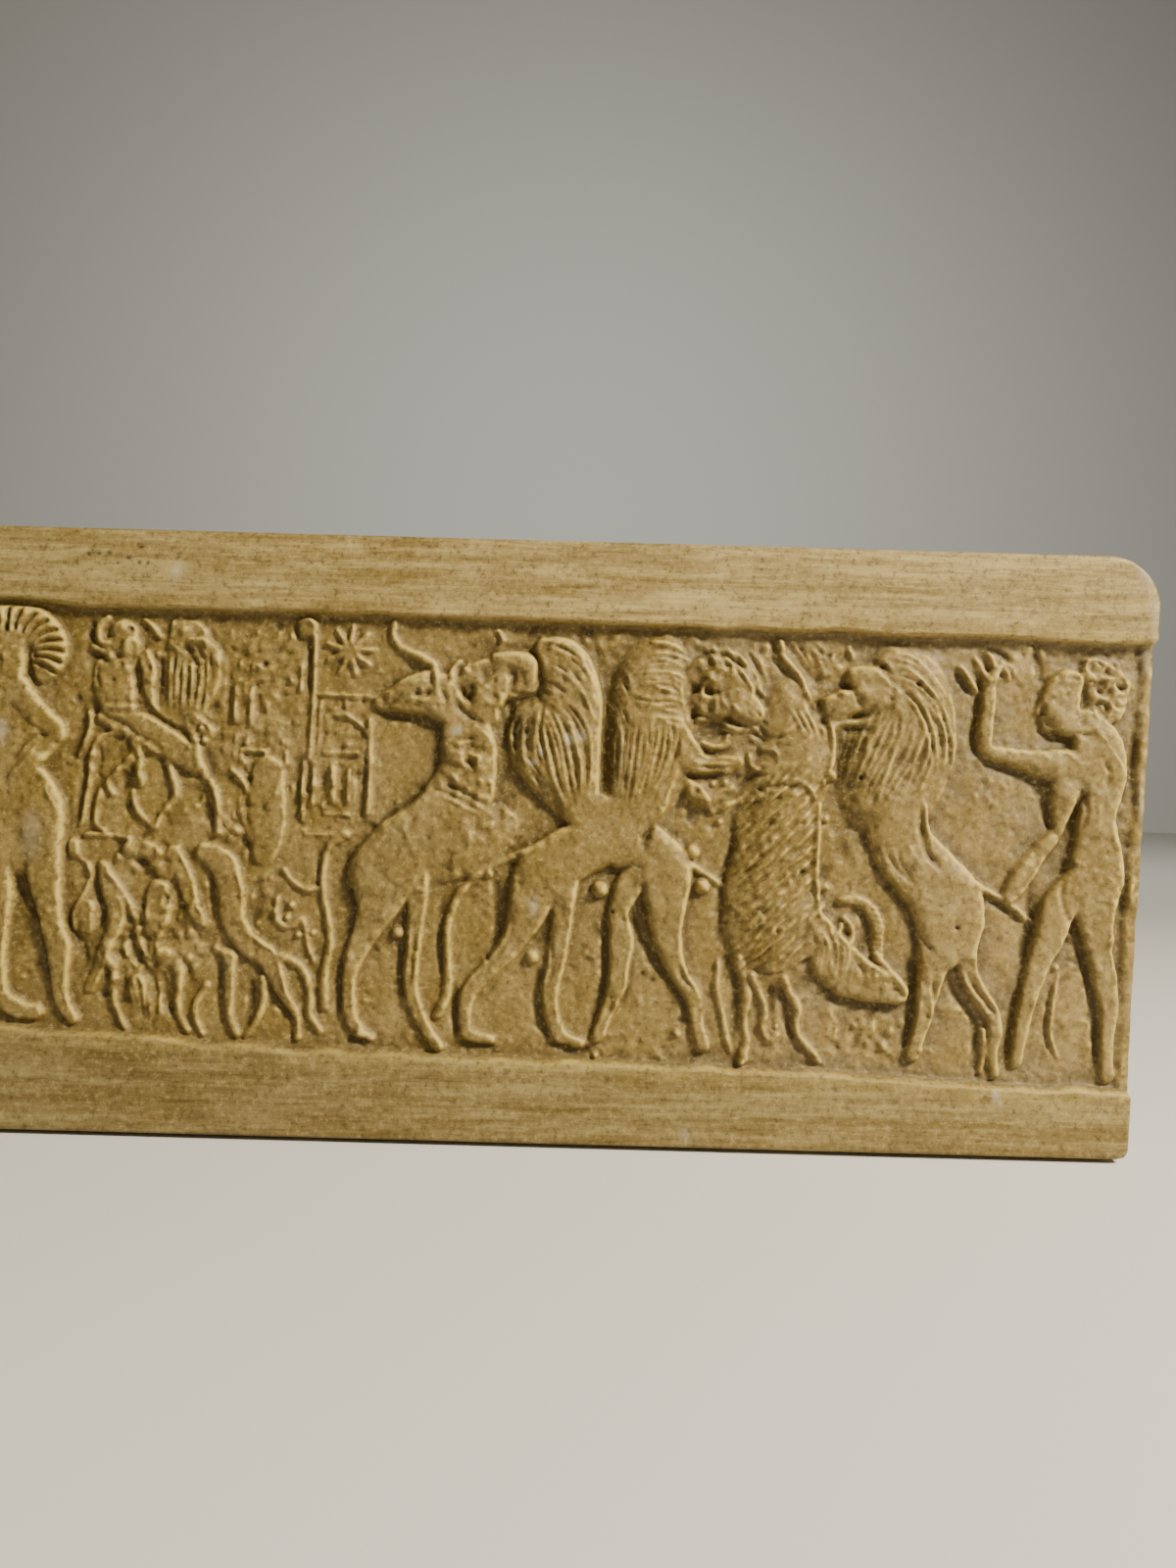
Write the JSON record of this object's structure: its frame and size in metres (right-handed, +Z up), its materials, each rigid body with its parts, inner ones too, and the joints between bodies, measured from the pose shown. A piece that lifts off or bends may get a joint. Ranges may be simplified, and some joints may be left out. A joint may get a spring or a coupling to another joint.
{
  "type": "cast stoneware relief wall plaque",
  "caption": "Oblong cast stoneware plaque with a low relief frieze of heroes, lions, a bull and a ram between plain raised bands; flat back for fixing to a wall.",
  "frame": {"origin": "centre of the flat back, where the plaque meets the wall", "axes": "+X to the right along the frieze seen from the front, +Y out of the back into the wall, +Z up"},
  "size_m": [0.2592, 0.0154, 0.125],
  "materials": {
    "stoneware": "matt tan stoneware with a brown wash rubbed into the hollows"
  },
  "bodies": {
    "root": {"relief_plaque": "stoneware"}
  },
  "joints": []
}
